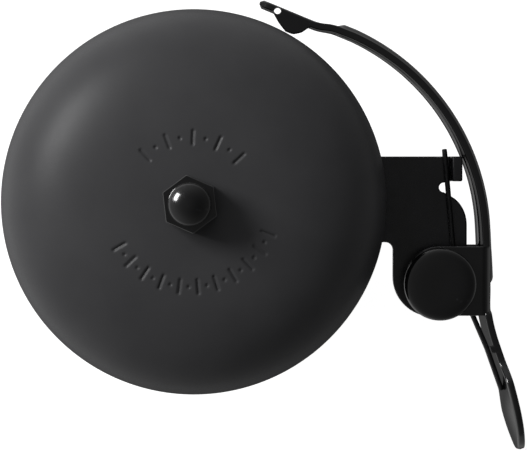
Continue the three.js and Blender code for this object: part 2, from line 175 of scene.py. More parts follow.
def turned(profile, x=0, y=0, segments=96):
    """Turns (radius, height) points round a vertical line. A profile off the axis closes into a ring."""
    on_axis = profile[0][0] < 1e-6
    vertices, rings = [], []
    for r, z in profile:
        ring = []
        for k in range(1 if r < 1e-6 else segments):
            angle = math.tau * k / segments
            ring.append(len(vertices))
            vertices.append((x + r * math.cos(angle), y + r * math.sin(angle), z))
        rings.append(ring)
    faces = []
    for lower, upper in zip(rings, rings[1:] if on_axis else rings[1:] + rings[:1]):
        for k in range(segments):
            a, b = lower[k % len(lower)], lower[(k + 1) % len(lower)]
            c, d = upper[(k + 1) % len(upper)], upper[k % len(upper)]
            faces.append((a, b, c, d) if a != b and c != d else (a, c, d) if a == b else (a, b, c))
    return solid(vertices, faces)


def plate(outline, holes, low, high, edge, steps=3):
    """A flat plate with rounded edges, from an outline and its holes."""
    outline = outline if area(outline) > 0 else outline[::-1]
    loops = [outline] + [hole if area(hole) < 0 else hole[::-1] for hole in holes]
    levels = [(edge * 1.5, 0)] + [
        (edge * (1 - math.sin(a)), edge * (1 - math.cos(a)))
        for a in (math.pi / 2 * k / steps for k in range(steps + 1))
    ]
    levels = [(i, low + d) for i, d in levels] + [(i, high - d) for i, d in reversed(levels)]
    vertices, faces = [], []
    caps = [[], []]
    for loop in loops:
        rings = []
        for distance, z in levels:
            rings.append(range(len(vertices), len(vertices) + len(loop)))
            vertices += [(px, py, z) for px, py in inset(loop, distance)]
        for lower, upper in zip(rings, rings[1:]):
            for k in range(len(loop)):
                n = (k + 1) % len(loop)
                faces.append((lower[k], lower[n], upper[n], upper[k]))
        caps[0].append(rings[0])
        caps[1].append(rings[-1])
    for cap in caps:
        order = [i for ring in cap for i in ring]
        flat = [[Vector((*vertices[i][:2], 0)) for i in ring] for ring in cap]
        faces += [tuple(order[i] for i in triangle) for triangle in tessellate_polygon(flat)]
    return solid(vertices, faces)


def sweep(path, radius, sides=14, round_ends=True):
    """A round wire along 3-D points, with rounded ends."""
    path = [Vector(p) for p in path]
    tangents = []
    for i in range(len(path)):
        tangents.append((path[min(i + 1, len(path) - 1)] - path[max(i - 1, 0)]).normalized())
    side = tangents[0].orthogonal().normalized()
    rows = []

    def add(centre, tangent, r):
        nonlocal side
        side = (side - tangent * side.dot(tangent)).normalized()
        other = tangent.cross(side)
        angles = [math.tau * k / sides for k in range(sides)]
        rows.append([centre + (side * math.cos(a) + other * math.sin(a)) * r for a in angles])

    cap = [math.radians(a) for a in (8, 35, 62)] if round_ends else []
    for a in cap:
        add(path[0] - tangents[0] * radius * 0.5 * math.cos(a), tangents[0], radius * math.sin(a) ** 0.6)
    for centre, tangent in zip(path, tangents):
        add(centre, tangent, radius)
    for a in reversed(cap):
        add(path[-1] + tangents[-1] * radius * 0.5 * math.cos(a), tangents[-1], radius * math.sin(a) ** 0.6)
    return loft(rows)


def rod(radius, low, high, x=0, y=0, segments=64):
    """A plain round tool, for drilling."""
    return turned([(0, low), (radius, low), (radius, high), (0, high)], x, y, segments)


def fold(past, length, out):
    """Takes a point round a right-angled fold, given how far past its start and how far out it is."""
    angle = min(past / length, 1) * math.pi / 2
    return out * math.sin(angle), out * math.cos(angle) - max(past - length, 0)


def bend_down(bm, start, inner, thickness, top, steps=8):
    """Folds what lies beyond x = start down by a right angle. inner is the radius inside the bend."""
    middle = inner + thickness / 2
    length = middle * math.pi / 2
    for k in range(steps + 1):
        place = (start + length * k / steps, 0, 0)
        geometry = bm.verts[:] + bm.edges[:] + bm.faces[:]
        bmesh.ops.bisect_plane(bm, geom=geometry, plane_co=place, plane_no=(1, 0, 0), dist=1e-4)
    centre = top - thickness - inner
    for v in bm.verts:
        if v.co.x > start:
            ahead, rise = fold(v.co.x - start, length, abs(v.co.z - centre))
            v.co.x = start + ahead
            v.co.z = centre + rise


# ---- pieces ----------------------------------


def mesh_object(name, bm):
    mesh = bpy.data.meshes.new(name)
    bmesh.ops.scale(bm, vec=(MM, MM, MM), verts=bm.verts)
    bm.to_mesh(mesh)
    bm.free()
    obj = bpy.data.objects.new(name, mesh)
    scene.collection.objects.link(obj)
    return obj


def combine(name, base, joined=(), removed=()):
    """Joins solids to a base and cuts others from it, as one bmesh in millimetres."""
    whole = mesh_object(name, base)
    tools = []
    for operation, others in (("UNION", joined), ("DIFFERENCE", removed)):
        for other in others:
            tool = mesh_object(name + "_tool", other)
            tools.append(tool)
            modifier = whole.modifiers.new(operation.lower(), "BOOLEAN")
            modifier.operation = operation
            modifier.solver = "MANIFOLD"
            modifier.object = tool
    evaluated = whole.evaluated_get(bpy.context.evaluated_depsgraph_get())
    bm = bmesh.new()
    bm.from_mesh(evaluated.to_mesh())
    evaluated.to_mesh_clear()
    bmesh.ops.scale(bm, vec=(1 / MM, 1 / MM, 1 / MM), verts=bm.verts)
    for spare in [whole, *tools]:
        bpy.data.objects.remove(spare)
    return bm


def piece(node, bm, material, body=ROOT, sharp=35, weighted=True):
    """Turns a bmesh into the visible piece that stands for a CAD node."""
    obj = mesh_object(node + "_fine", bm)
    obj.data.shade_smooth()
    obj.data.set_sharp_from_angle(angle=math.radians(sharp))
    if weighted:
        normals = obj.modifiers.new("weighted normals", "WEIGHTED_NORMAL")
        normals.keep_sharp = True
    obj.data.materials.append(material)
    if body:
        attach(obj, body)
    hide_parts(node)
    return obj


# ---- materials -------------------------------


class Nodes:
    """A small builder for one material's node tree."""

    def __init__(self, name):
        self.material = bpy.data.materials.new(name)
        self.material.use_nodes = True
        self.tree = self.material.node_tree
        self.shader = self.tree.nodes["Principled BSDF"]
        self.coordinates = self.tree.nodes.new("ShaderNodeTexCoord").outputs["Object"]
        self.normal = None

    def link(self, source, target):
        self.tree.links.new(source, target)

    def noise(self, size, detail=3, roughness=0.55, stretch=None):
        """Noise whose features are about size millimetres across."""
        node = self.tree.nodes.new("ShaderNodeTexNoise")
        node.inputs["Scale"].default_value = 1 / (size * MM)
        node.inputs["Detail"].default_value = detail
        node.inputs["Roughness"].default_value = roughness
        source = self.coordinates
        if stretch:
            mapping = self.tree.nodes.new("ShaderNodeMapping")
            mapping.inputs["Scale"].default_value = stretch
            self.link(source, mapping.inputs["Vector"])
            source = mapping.outputs["Vector"]
        self.link(source, node.inputs["Vector"])
        return node.outputs["Fac"]

    def cells(self, size):
        node = self.tree.nodes.new("ShaderNodeTexVoronoi")
        node.inputs["Scale"].default_value = 1 / (size * MM)
        self.link(self.coordinates, node.inputs["Vector"])
        return node.outputs["Distance"]

    def spread(self, source, low, high, start=0.3, end=0.7):
        """Maps a factor on to a range of values."""
        node = self.tree.nodes.new("ShaderNodeMapRange")
        node.inputs["From Min"].default_value = start
        node.inputs["From Max"].default_value = end
        node.inputs["To Min"].default_value = low
        node.inputs["To Max"].default_value = high
        self.link(source, node.inputs["Value"])
        return node.outputs["Result"]

    def math(self, operation, a, b):
        node = self.tree.nodes.new("ShaderNodeMath")
        node.operation = operation
        for socket, value in zip(node.inputs, (a, b)):
            if isinstance(value, (int, float)):
                socket.default_value = value
            else:
                self.link(value, socket)
        return node.outputs["Value"]

    def colours(self, factor, first, second):
        node = self.tree.nodes.new("ShaderNodeMix")
        node.data_type = "RGBA"
        sockets = [s for s in node.inputs if s.type == "RGBA"]
        sockets[0].default_value = (*first, 1)
        sockets[1].default_value = (*second, 1)
        self.link(factor, node.inputs["Factor"])
        return [s for s in node.outputs if s.type == "RGBA"][0]

    def bump(self, height, depth, strength=1.0):
        """Adds a relief of the given depth in millimetres."""
        node = self.tree.nodes.new("ShaderNodeBump")
        node.inputs["Strength"].default_value = strength
        node.inputs["Distance"].default_value = depth * MM
        self.link(height, node.inputs["Height"])
        if self.normal:
            self.link(self.normal, node.inputs["Normal"])
        self.normal = node.outputs["Normal"]

    def worn_edges(self, amount=1.0):
        """A factor that rises on convex edges, broken up by noise."""
        geometry = self.tree.nodes.new("ShaderNodeNewGeometry")
        edges = self.spread(geometry.outputs["Pointiness"], 0, amount, 0.54, 0.64)
        return self.math("MULTIPLY", edges, self.spread(self.noise(0.9, 4), 0, 1, 0.42, 0.62))

    def set(self, **values):
        for name, value in values.items():
            socket = self.shader.inputs[name.replace("_", " ")]
            if isinstance(value, (int, float)):
                socket.default_value = value
            elif isinstance(value, tuple):
                socket.default_value = (*value, 1)
            else:
                self.link(value, socket)

    def done(self):
        if self.normal:
            self.link(self.normal, self.shader.inputs["Normal"])
        return self.material


def dome_coat():
    """Fine-textured matte black powder coat."""
    n = Nodes("dome textured black")
    cloud = n.noise(14, 3)
    speck = n.noise(0.28, 2, 0.6)
    base = n.colours(n.spread(cloud, 0, 1), (0.038, 0.038, 0.040), (0.045, 0.045, 0.047))
    n.set(Base_Color=base, Roughness=n.spread(speck, 0.36, 0.5), Specular_IOR_Level=0.17)
    n.bump(speck, 0.012)
    n.bump(n.noise(0.9, 2), 0.012)
    return n.done()


def gloss_black():
    """Smooth glossy black enamel with a faint orange peel and a little wear on its edges."""
    n = Nodes("gloss black")
    wear = n.worn_edges(0.5)
    base = n.colours(wear, (0.0025, 0.0025, 0.0028), (0.03, 0.03, 0.032))
    smear = n.noise(5, 4, 0.6)
    n.set(Base_Color=base, Roughness=n.spread(smear, 0.1, 0.2), Coat_Weight=0.4, Coat_Roughness=0.06)
    n.bump(n.noise(1.6, 2), 0.006)
    n.bump(n.noise(0.2, 2), 0.0012)
    return n.done()


def satin_black():
    """Satin black enamel over pressed steel, slightly mottled and smeared."""
    n = Nodes("satin black")
    mottle = n.noise(2.4, 5, 0.65)
    smear = n.noise(6, 3, 0.5, stretch=(1, 0.35, 1))
    base = n.colours(n.spread(smear, 0, 1, 0.35, 0.7), (0.004, 0.004, 0.0045), (0.011, 0.011, 0.013))
    n.set(Base_Color=base, Roughness=n.spread(mottle, 0.2, 0.38), Coat_Weight=0.2, Coat_Roughness=0.15)
    n.bump(n.noise(1.2, 3), 0.012)
    n.bump(n.noise(0.25, 2), 0.003)
    return n.done()


def black_wire():
    """Hard-drawn spring wire with a black finish and fine die lines."""
    n = Nodes("black spring wire")
    grain = n.noise(0.35, 3, 0.6, stretch=(1, 0.15, 1))
    base = n.colours(n.spread(grain, 0, 1), (0.006, 0.006, 0.0065), (0.022, 0.022, 0.023))
    n.set(Base_Color=base, Roughness=n.spread(grain, 0.18, 0.32), Metallic=0.35)
    n.bump(grain, 0.004)
    return n.done()


def black_hardware():
    """Black zinc-plated screws, nuts and clips."""
    n = Nodes("black hardware")
    wear = n.worn_edges(0.8)
    tint = n.noise(2.0, 3)
    base = n.colours(wear, (0.02, 0.02, 0.022), (0.22, 0.22, 0.23))
    n.set(Base_Color=base, Roughness=n.spread(tint, 0.26, 0.42), Metallic=0.8)
    n.bump(n.noise(0.3, 3), 0.004)
    return n.done()


def plain_steel():
    """Turned and zinc-plated steel, bright with a faint blue and yellow tint."""
    n = Nodes("plated steel")
    tint = n.noise(3.0, 4)
    lines = n.noise(0.25, 2, 0.6, stretch=(0.2, 0.2, 3))
    base = n.colours(n.spread(tint, 0, 1), (0.52, 0.53, 0.55), (0.6, 0.58, 0.52))
    n.set(Base_Color=base, Roughness=n.spread(lines, 0.24, 0.4), Metallic=1.0)
    n.bump(lines, 0.006)
    return n.done()


def black_rubber():
    """Matte moulded rubber with a fine grain and a little dust."""
    n = Nodes("black rubber")
    dust = n.noise(3.5, 5, 0.65)
    base = n.colours(n.spread(dust, 0, 1, 0.45, 0.75), (0.014, 0.014, 0.014), (0.035, 0.034, 0.032))
    n.set(Base_Color=base, Roughness=n.spread(dust, 0.68, 0.88), Specular_IOR_Level=0.35)
    n.bump(n.cells(0.35), 0.02)
    return n.done()


DOME_COAT = dome_coat()
GLOSS = gloss_black()
SATIN = satin_black()
WIRE = black_wire()
HARDWARE = black_hardware()
STEEL = plain_steel()
RUBBER = black_rubber()

# ---- dome, post and cap nut ------------------

DOME_RADIUS = DOME_HIGH.x
DOME_WALL = 1.5
DOME_POWER = 3.2
DOME_STRAIGHT = 2
DOME_HOLE = 3.2
MARK_BAND = (10.8, 19.2)
MARK_DEPTH = 0.32
MARK_HALF_WIDTH = 0.3
MARK_DOT = 0.05  # half length of a dot
STUD_RADIUS = 2.9
STUD_HOLE = STUD_RADIUS + 0.1
PIN_HOLE = 2.1


def dome_face(radius, crown, finest, coarsest):
    """One face of the wall from the rim's level up to the hole, finer where the marks are stamped."""
    base = DOME_LOW.z + DOME_STRAIGHT
    points = []
    angle = 0.0
    while True:
        r = radius * math.cos(angle) ** (2 / DOME_POWER)
        if r <= DOME_HOLE:
            break
        points.append((r, base + crown * math.sin(angle) ** (2 / DOME_POWER)))
        step = finest if MARK_BAND[0] < r < MARK_BAND[1] else coarsest
        ahead = radius * math.cos(angle + 1e-4) ** (2 / DOME_POWER) if angle else radius
        rate = max((r - ahead) / 1e-4, radius * 0.5)
        angle = min(angle + step / rate, math.pi / 2 - 1e-6)
    points.append((DOME_HOLE, base + crown * (1 - (DOME_HOLE / radius) ** DOME_POWER) ** (1 / DOME_POWER)))
    return points


def stamped_marks():
    """Plain strokes and dots by turns, round the crown: (angle, radius, half length) of each."""
    upper = [(133 - 11.25 * k, 13.1, MARK_DOT if k % 2 else 1.3) for k in range(9)]
    lower = [(211 + 6.4 * k, 16.4, MARK_DOT if k % 2 else 1.35) for k in range(21)]
    return upper + lower


def mark_depth(x, y, marks):
    """How deep the stamping is at one point, from 0 to 1."""
    deepest = 0.0
    for angle, radius, half_length in marks:
        a = math.radians(angle)
        out = Vector((math.cos(a), math.sin(a)))
        away = Vector((x, y)) - radius * out
        if away.length > half_length + 2 * MARK_HALF_WIDTH:
            continue
        along = min(max(away.dot(out), -half_length), half_length)
        gap = (away - out * along).length
        deepest = max(deepest, 1 - smooth(gap / (1.7 * MARK_HALF_WIDTH)))
    return deepest


def make_dome():
    inner, low = DOME_RADIUS - DOME_WALL, DOME_LOW.z
    straight_top = low + DOME_STRAIGHT
    crown = DOME_HIGH.z - low - DOME_STRAIGHT
    outside = dome_face(DOME_RADIUS, crown, 0.21, 0.9)
    inside = dome_face(inner, crown - DOME_WALL, 0.4, 1.2)
    rim = [(inner, straight_top), (inner, low, 0.5), (DOME_RADIUS, low, 0.5), (DOME_RADIUS, straight_top)]
    bm = turned(fillet(rim, closed=False)[1:-1] + outside + inside[::-1], segments=432)
    marks = stamped_marks()
    for v in bm.verts:
        r = math.hypot(v.co.x, v.co.y)
        if MARK_BAND[0] < r < MARK_BAND[1]:
            v.co.z -= MARK_DEPTH * mark_depth(v.co.x, v.co.y, marks)
    piece("dome", bm, DOME_COAT, weighted=False, sharp=50)


def make_cap_nut():
    low, high = box("cap_nut")
    flats = 10
    widest = flats / 2 * 1.13  # where the chamfer starts to turn the corners off
    first_corner = 36.5
    sharpness = 200
    hex_height = 5
    cap_radius = 4.1
    cap_curve = 6.1
    bore_top = low.z + 6.4
    segments = 144

    def hexagon(angle):
        """The hexagon's radius in one direction, with its corners just rounded."""
        reach = 0.0
        for k in range(6):
            facing = math.cos(angle - math.radians(first_corner + 30 + 60 * k))
            reach += max(facing, 0) ** sharpness
        return flats / 2 / reach ** (1 / sharpness)

    def chamfered(radius):
        return max(radius - widest, 0) * math.tan(math.radians(30))

    hex_top = low.z + hex_height
    columns = []
    for k in range(segments):
        angle = math.tau * k / segments
        r = hexagon(angle)
        edge = min(r - 0.12, widest)
        profile = [
            (STUD_HOLE, low.z),
            (edge - 0.1, low.z),
            (edge, low.z + 0.02),
            (r, low.z + chamfered(r) * 0.8 + 0.12),
            (r, hex_top - chamfered(r) - 0.12),
            (edge, hex_top - 0.01),
            (edge - 0.12, hex_top),
        ]
        columns.append([(radius * math.cos(angle), radius * math.sin(angle), z) for radius, z in profile])
    rows = list(zip(*columns))
    shoulder = math.degrees(math.acos(cap_radius / cap_curve))
    cap = arc(0, high.z - cap_curve, cap_curve, shoulder, 88, 20)
    root = [(cap_radius + 0.6, hex_top), (cap_radius, hex_top, 0.3), (*cap[0], 0.5), cap[3]]
    rows += [level_ring(r, z, segments) for r, z in fillet(root, closed=False)[1:-1] + cap[3:]]
    vertices = [p for row in rows for p in row]
    tip = len(vertices)
    vertices.append((0, 0, high.z))
    deep = (tip + 1, tip + 1 + segments)
    vertices += level_ring(1.0, bore_top, segments) + level_ring(STUD_HOLE, bore_top - 0.3, segments)
    end = len(vertices)
    vertices.append((0, 0, bore_top))
    faces = []

    def band(a, b):
        for k in range(segments):
            n = (k + 1) % segments
            faces.append((a + k, a + n, b + n, b + k))

    for i in range(len(rows) - 1):
        band(i * segments, (i + 1) * segments)
    band(deep[0], deep[1])
    band(deep[1], 0)
    last = (len(rows) - 1) * segments
    for k in range(segments):
        n = (k + 1) % segments
        faces.append((last + k, last + n, tip))
        faces.append((deep[0] + k, deep[0] + n, end))
    piece("cap_nut", solid(vertices, faces), GLOSS, sharp=28)


def make_post():
    low, high = box("dome_post")
    shoulder = DOME_HIGH.z - 3.9
    thread_start = shoulder + 0.6
    profile = [
        (0, low.z),
        (3.4, low.z, 0.5),
        (4.5, low.z + 1.1),
        (STUD_RADIUS, low.z + 1.1),
        (STUD_RADIUS, PLATE_TOP),
        (6.5, PLATE_TOP, 0.15),
        (6.5, PLATE_TOP + 1, 0.3),
        (4.2, PLATE_TOP + 1.4, 0.6),
        (4, shoulder, 0.2),
        (STUD_RADIUS, shoulder),
        (STUD_RADIUS, thread_start),
    ]
    points = fillet(profile, closed=False)
    pitch = 1.0
    thread_root = STUD_RADIUS - 0.42
    z = thread_start
    while z < high.z - 1.2:
        points += [(STUD_RADIUS, z + 0.1), (thread_root, z + pitch * 0.5), (STUD_RADIUS, z + pitch * 0.9)]
        z += pitch
    points += [(STUD_RADIUS, high.z - 0.6), (STUD_RADIUS - 0.6, high.z), (0, high.z)]
    piece("dome_post", turned(points, segments=72), STEEL)


def make_washer(node, material, inner, x=0.0, y=0.0, body=ROOT, edge=0.18):
    """A flat ring with rounded edges, in its CAD node's place."""
    low, high = box(node)
    outer = (high.x - low.x) / 2
    edge = min(edge, (high.z - low.z) * 0.3)
    corners = [(inner, low.z, edge / 2), (outer, low.z, edge)]
    corners += [(outer, high.z, edge), (inner, high.z, edge / 2)]
    piece(node, turned(fillet(corners), x, y, 72), material, body)


make_dome()
make_cap_nut()
make_post()
make_washer("post_washer", STEEL, STUD_HOLE)
make_washer("damping_washer", RUBBER, STUD_HOLE, edge=0.3)

# ---- bracket and clamp -----------------------

TAB_LOW = 4.2


def make_bracket():
    back = 9.4
    front = -8.6
    ear_left = 41.4
    right = 56.9
    round_end = -3.5
    tab_outside = 55.6
    corner = 1.6
    ear_radius = 7.2
    notch = (52.05, 2.9)
    shoulder_left, shoulder_low, shoulder_rise = 51.4, -5, 6.6
    tab_height = PLATE_HIGH.z - PLATE_LOW.z
    inner = 0.6
    bend_length = (inner + PLATE_THICKNESS / 2) * math.pi / 2
    fold_start = tab_outside - PLATE_THICKNESS - inner
    tab_end = fold_start + bend_length + tab_height - PLATE_THICKNESS - inner
    end_radius = (back - front) / 2
    left_radius = right - ear_left - ear_radius
    middle = ear_left + left_radius
    shoulder = [
        (mix(shoulder_left, right, c), shoulder_low + shoulder_rise * s) for c, s in arc(0, 0, 1, 0, 72, 16)
    ]
    body = (
        arc(round_end, (back + front) / 2, end_radius, 90, 270, 32)
        + arc(ear_left - corner, front - corner, corner, 90, 0, 8)
        + arc(middle, PIVOT.y - ear_radius + left_radius, left_radius, 180, 270, 16)
        + arc(middle, PIVOT.y, ear_radius, -90, 0, 14)[1:]
        + shoulder
        + arc(*notch, 1, -90, -270, 16)
    )
    tab_corners = [(fold_start + 0.4, TAB_LOW, 0.3), (tab_end, TAB_LOW, 0.5), (tab_end, back, 0.5)]
    tab = fillet(tab_corners, closed=False)
    outline = body + tab
    holes = [circle(0, 0, STUD_HOLE, 40), circle(PIVOT.x, PIVOT.y, PIN_HOLE, 40)]
    bm = plate(outline, holes, PLATE_LOW.z, PLATE_TOP, 0.3)
    bend_tab(bm, fold_start, inner, bend_length)
    piece("bracket", bm, SATIN)


def bend_tab(bm, start, inner, length, steps=8):
    """Folds the tab up by a right angle. Only the tab's own stretch of the plate moves."""
    side = TAB_LOW - 0.35
    for k in range(steps + 1):
        faces = [f for f in bm.faces if not k or all(v.co.y > side for v in f.verts)]
        geometry = list({g for f in faces for g in (*f.verts, *f.edges)}) + faces
        place = (start + length * k / steps, 0, 0)
        bmesh.ops.bisect_plane(bm, geom=geometry, plane_co=place, plane_no=(1, 0, 0), dist=1e-4)
    centre = PLATE_TOP + inner
    for v in bm.verts:
        if v.co.y > side and v.co.x > start:
            ahead, drop = fold(v.co.x - start, length, centre - v.co.z)
            v.co.x = start + ahead
            v.co.z = centre - drop


BAND_WIDTH = 15
BAND_THICKNESS = 1.2
BAR_RADIUS = 11.1
LINER_THICKNESS = 1.5
BAND_SPLIT = 3.5
CLAMP_SCREW_Z = -19.8
SCREW_RADIUS = 2.5


def strip_section(half_width, thickness, corner):
    """A rounded rectangle: (across the thickness, along the width)."""
    half = thickness / 2
    signs = ((1, -1), (1, 1), (-1, 1), (-1, -1))
    return fillet([(half * across, half_width * along, corner) for across, along in signs])


def make_band():
    """The band's own sheet: up one ear, round the bar, over the flat top and down the other side."""
    low, high = box("clamp_band")
    radius = BAR_RADIUS + LINER_THICKNESS + 0.2 + BAND_THICKNESS / 2
    ear = BAND_SPLIT / 2 + BAND_THICKNESS / 2
    flat = high.z - BAND_THICKNESS / 2
    start = -math.degrees(math.acos(ear / radius))
    side = [(ear, low.z, 0), (ear, -radius * math.sin(math.radians(-start)), 1.2)]
    side += arc(0, 0, radius, start + 6, 27.8, 48) + [(7.35, flat, 1.6)]
    corners = side + [(-c[0], *c[1:]) for c in reversed(side)]
    path = fillet(corners, closed=False, steps=8)
    path = resample(path, 0.6)
    half = BAND_WIDTH / 2
    round_off = 4
    total = path_lengths(path)[-1]
    rows = []
    for (x, z), s, (nx, nz) in zip(path, path_lengths(path), path_normals(path)):
        to_end = min(s, total - s)
        cut = round_off - math.sqrt(max(round_off ** 2 - max(round_off - to_end, 0) ** 2, 0))
        width = max(half - cut, half - round_off + 0.4)
        section = strip_section(width, BAND_THICKNESS, 0.3)
        rows.append([(x + nx * across, along, z + nz * across) for across, along in section])
    band = loft(rows)
    drill = along_x(rod(SCREW_RADIUS + 0.2, -12, 12, segments=48), CLAMP_SCREW_Z)
    bm = combine("clamp_band", band, removed=[drill, rod(STUD_HOLE, 12, 17)])
    piece("clamp_band", bm, SATIN)


def path_lengths(path):
    lengths = [0.0]
    for a, b in zip(path, path[1:]):
        lengths.append(lengths[-1] + math.dist(a, b))
    return lengths


def path_normals(path):
    """The left-hand normal at each point of an open path in a plane."""
    normals = []
    for i in range(len(path)):
        a, b = path[max(i - 1, 0)], path[min(i + 1, len(path) - 1)]
        length = math.dist(a, b)
        normals.append((-(b[1] - a[1]) / length, (b[0] - a[0]) / length))
    return normals


def resample(path, longest):
    """Adds points so that no stretch is longer than a given length."""
    points = [path[0]]
    for a, b in zip(path, path[1:]):
        count = max(1, math.ceil(math.dist(a, b) / longest))
        points += [(mix(a[0], b[0], k / count), mix(a[1], b[1], k / count)) for k in range(1, count + 1)]
    return [p for i, p in enumerate(points) if i == 0 or math.dist(p, points[i - 1]) > 1e-6]


def make_liner():
    """A split rubber sleeve with shallow grooves inside."""
    low, high = box("clamp_liner")
    split = 9
    half = (high.y - low.y) / 2
    outer = BAR_RADIUS + LINER_THICKNESS
    section = fillet(
        [
            (BAR_RADIUS + 0.05, -half, 0.3),
            (outer - 0.1, -half, 0.4),
            (outer - 0.1, half, 0.4),
            (BAR_RADIUS + 0.05, half, 0.3),
            *[(BAR_RADIUS + 0.05 + 0.25 * (k % 2), half - 1.2 - 0.7 * k, 0.15) for k in range(20)],
        ],
        steps=3,
    )
    rows = []
    steps = 120
    for i in range(steps + 1):
        angle = math.radians(-90 + split + (360 - 2 * split) * i / steps)
        rows.append([(r * math.cos(angle), y, r * math.sin(angle)) for r, y in section])
    piece("clamp_liner", loft(rows), RUBBER)


def along_x(bm, z):
    """Lays a shape that was turned round the vertical along +X, at a height."""
    for v in bm.verts:
        v.co = Vector((v.co.z, v.co.y, z - v.co.x))
    return bm


def on_screw(x, radius, angle):
    """A point at a radius from the clamp screw's axis."""
    return x, radius * math.cos(angle), CLAMP_SCREW_Z + radius * math.sin(angle)


def make_clamp_screw():
    low, high = box("clamp_screw")
    face = high.x - 3
    head = 4.6
    crest, root_radius, pitch = SCREW_RADIUS, SCREW_RADIUS - 0.4, 0.8
    points = [(0, low.x), (root_radius - 0.2, low.x), (root_radius, low.x + 0.3)]
    z = low.x + 0.5
    while z < face - 3.5:
        points += [(crest, z + pitch * 0.35), (crest, z + pitch * 0.5), (root_radius, z + pitch * 0.95)]
        z += pitch
    points += [(crest, z + 0.3), (crest, face)]
    cheese = [(crest, face), (head, face, 0.2), (head, face + 1.5, 0.8), (3.2, face + 3, 1.2), (0, face + 3)]
    points += fillet(cheese, closed=False, steps=6)[1:]
    shank = turned(points, segments=64)
    slot = plate([(-0.6, -6), (0.6, -6), (0.6, 6), (-0.6, 6)], [], face + 1.7, face + 4, 0.05, 1)
    bm = along_x(combine("clamp_screw", shank, removed=[slot]), CLAMP_SCREW_Z)
    piece("clamp_screw", bm, HARDWARE)


def make_clamp_washer():
    low, high = box("clamp_washer")
    corners = [(2.7, low.x, 0.08), (4.9, low.x, 0.2), (4.9, high.x, 0.25), (2.7, high.x, 0.1)]
    bm = along_x(turned(fillet(corners), segments=64), CLAMP_SCREW_Z)
    piece("clamp_washer", bm, HARDWARE)


def make_lock_washer():
    """A flat split ring with a gap between its two ends."""
    low = box("clamp_lock_washer")[0]
    opening = 9
    rows = []
    steps = 60
    section = fillet([(2.75, 0.1, 0.15), (4.25, 0.1, 0.15), (4.25, 1.1, 0.15), (2.75, 1.1, 0.15)], steps=3)
    for i in range(steps + 1):
        angle = math.radians(opening + (360 - 2 * opening) * i / steps)
        rows.append([on_screw(low.x + x, r, angle) for r, x in section])
    piece("clamp_lock_washer", loft(rows), HARDWARE)


def make_clamp_nut():
    """A pressed square nut with its corners turned off on the outer face."""
    low, high = box("clamp_nut")
    half = (high.y - low.y) / 2
    crown = half * 0.98
    bore = SCREW_RADIUS + 0.1
    sharpness = 60
    segments = 144
    columns = []
    for k in range(segments):
        angle = math.tau * k / segments
        reach = sum(max(math.cos(angle - math.pi / 2 * n), 0) ** sharpness for n in range(4))
        r = half / reach ** (1 / sharpness)
        drop = max(r - crown, 0) * 0.45
        profile = [
            (crown - 0.2, low.x),
            (crown, low.x + 0.02),
            (r, low.x + drop + 0.12),
            (r, high.x - 0.12),
            (r - 0.12, high.x),
            (r - 0.3, high.x),
            (bore + 0.4, high.x),
            (bore, high.x - 0.4),
            (bore, low.x + 0.4),
            (bore + 0.4, low.x),
        ]
        columns.append([on_screw(x, radius, angle) for radius, x in profile])
    rows = list(zip(*columns))
    piece("clamp_nut", loft(rows, closed_path=True), HARDWARE, sharp=28)


make_bracket()
make_band()
make_liner()
make_clamp_screw()
make_clamp_washer()
make_lock_washer()
make_clamp_nut()

# ---- pivot -----------------------------------


def make_pivot_pin():
    low, high = box("pivot_pin")
    clip_low, clip_high = box("retaining_clip")
    bottom, top = clip_low.z - 0.1, clip_high.z + 0.1
    corners = [
        (0, low.z), (2, low.z, 0.5), (2, bottom, 0.08), (1.5, bottom, 0.08), (1.5, top, 0.08), (2, top, 0.08),
        (2, high.z, 0.2), (0, high.z),
    ]
    bm = turned(fillet(corners, closed=False), PIVOT.x, PIVOT.y, 64)
    piece("pivot_pin", bm, HARDWARE, MOVER)


def make_pivot_cap():
    """The broad button over the pivot: nearly flat on top, rolling over into its edge."""
    low, high = box("pivot_cap")
    radius = (high.x - low.x) / 2
    lip = 0.8
    power = 4
    crown = high.z - low.z - lip
    face = []
    for k in range(1, 61):
        a = math.pi / 2 * k / 60
        face.append((radius * math.cos(a) ** (2 / power), low.z + lip + crown * math.sin(a) ** (2 / power)))
    face[-1] = (0, high.z)
    edge = arc(radius - lip, low.z + lip, lip, -70, 0, 8)
    hollow = [(0, low.z + 1.5), (PIN_HOLE, low.z + 1.5), (PIN_HOLE, low.z), (radius - lip - 0.2, low.z)]
    bm = turned(hollow + edge + face, PIVOT.x, PIVOT.y, 128)
    piece("pivot_cap", bm, GLOSS, MOVER, sharp=50, weighted=False)


def make_clip():
    """An E-type retaining clip with three inward lugs."""
    low, high = box("retaining_clip")
    opening = 38
    outer = arc(0, 0, 3.95, opening, 360 - opening, 40)
    inner = []
    for x, y in arc(0, 0, 1, 360 - opening, opening, 72):
        angle = math.degrees(math.atan2(y, x)) % 360
        near = min(abs(angle - a) for a in (opening + 12, 180, 348 - opening))
        r = 1.62 + 1.15 * smooth((near - 14) / 10)
        inner.append((x * r, y * r))
    bm = plate([(PIVOT.x + x, PIVOT.y + y) for x, y in outer + inner], [], low.z, high.z, 0.12, 2)
    piece("retaining_clip", bm, HARDWARE, MOVER)


make_pivot_pin()
make_pivot_cap()
make_clip()
make_washer("spring_bush", STEEL, PIN_HOLE, PIVOT.x, PIVOT.y)
make_washer("thrust_washer", STEEL, PIN_HOLE, PIVOT.x, PIVOT.y)
make_washer("clip_washer", STEEL, PIN_HOLE, PIVOT.x, PIVOT.y, MOVER, 0.12)

# ---- spring ----------------------------------

